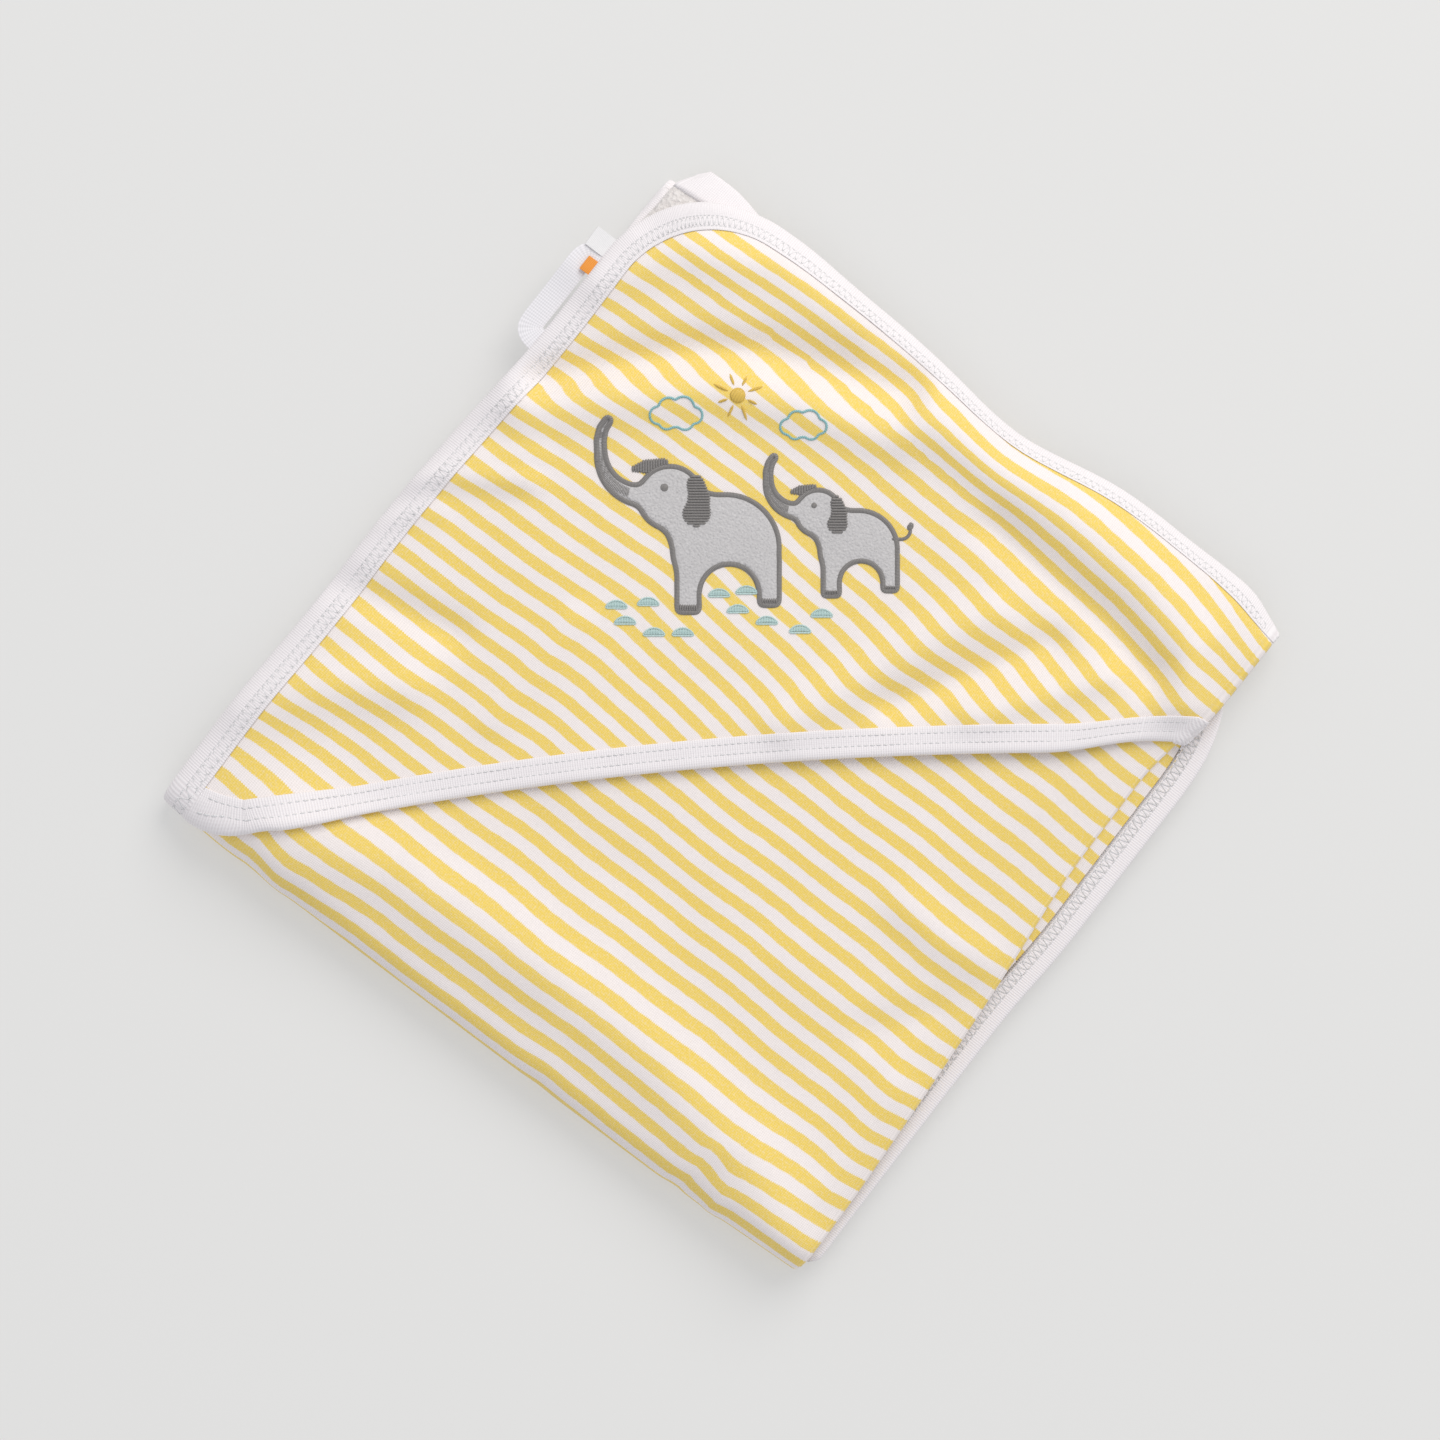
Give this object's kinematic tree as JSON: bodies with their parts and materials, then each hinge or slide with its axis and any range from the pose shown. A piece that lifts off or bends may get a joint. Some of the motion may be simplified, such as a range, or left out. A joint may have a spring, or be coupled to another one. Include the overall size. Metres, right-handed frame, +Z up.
{
  "type": "hooded baby towel",
  "caption": "Folded square baby towel, striped jersey outside and terry lining, with a bound triangular hood that carries an embroidered picture.",
  "frame": {"origin": "centre of the folded packet's footprint, on the surface that it lies on", "axes": "+Z up; +Y from the long fold to the bound edge that the hood is sewn to; +X along that edge, away from the hood's corner"},
  "size_m": [0.284, 0.282, 0.0214],
  "materials": {
    "striped_jersey": "knitted cotton jersey, yellow and white stripes 4 mm wide",
    "white_terry": "looped cotton terry",
    "white_rib": "ribbed cotton binding tape",
    "white_thread": "polyester sewing thread",
    "grey_fleece": "brushed grey fabric",
    "grey_thread": "satin stitch in grey embroidery thread",
    "gold_thread": "satin stitch in gold thread",
    "blue_thread": "running stitch in pale blue thread",
    "teal_thread": "satin stitch in pale teal thread",
    "backing_felt": "non-woven embroidery stabiliser",
    "loop_tape": "woven cotton tape",
    "label_satin": "woven satin label, plain",
    "orange_tape": "woven orange tab, plain"
  },
  "bodies": {
    "base": {"lower_shell": "striped_jersey", "lower_lining": "white_terry", "lower_binding": "white_rib", "inner_shell": "striped_jersey", "inner_lining": "white_terry", "inner_binding": "white_rib", "turn_shell": "striped_jersey", "turn_lining": "white_terry", "fold_shell": "striped_jersey", "fold_lining": "white_terry"},
    "top_half": {"upper_shell": "striped_jersey", "hood_shell": "striped_jersey", "upper_lining": "white_terry", "hood_lining": "white_terry", "hood_binding": "white_rib", "side_binding": "white_rib", "end_binding": "white_rib", "under_binding": "white_rib", "hood_stitches": "white_thread", "edge_stitches": "white_thread", "elephant_large_fabric": "grey_fleece", "elephant_small_fabric": "grey_fleece", "elephant_large_outline": "grey_thread", "elephant_small_outline": "grey_thread", "elephant_large_near_ear": "grey_thread", "elephant_small_near_ear": "grey_thread", "elephant_large_far_ear": "grey_thread", "elephant_small_far_ear": "grey_thread", "elephant_large_eye": "grey_thread", "elephant_small_eye": "grey_thread", "elephant_small_tail": "grey_thread", "sun": "gold_thread", "clouds": "blue_thread", "ground_tufts": "teal_thread", "embroidery_backing": "backing_felt"},
    "loop": {"hanging_loop": "loop_tape"},
    "label": {"care_label": "label_satin"},
    "tab": {"brand_tab": "orange_tape"}
  },
  "joints": [
    {"name": "top_half_unfold", "type": "hinge", "parent": "base", "child": "top_half", "pos_m": [0, -0.1412, 0.0108], "axis": [1, 0, 0], "range_deg": [0, 180], "deforming": ["fold_shell", "fold_lining"]},
    {"name": "loop_swing", "type": "hinge", "parent": "top_half", "child": "loop", "pos_m": [-0.1338, 0, 0.0184], "axis": [0, -1, 0], "range_deg": [-60, 85]},
    {"name": "label_flip", "type": "hinge", "parent": "top_half", "child": "label", "pos_m": [-0.1338, 0, 0.0184], "axis": [0, -1, 0], "range_deg": [-60, 85]},
    {"name": "tab_flip", "type": "hinge", "parent": "top_half", "child": "tab", "pos_m": [-0.1338, 0, 0.0184], "axis": [0, -1, 0], "range_deg": [-60, 85]}
  ]
}
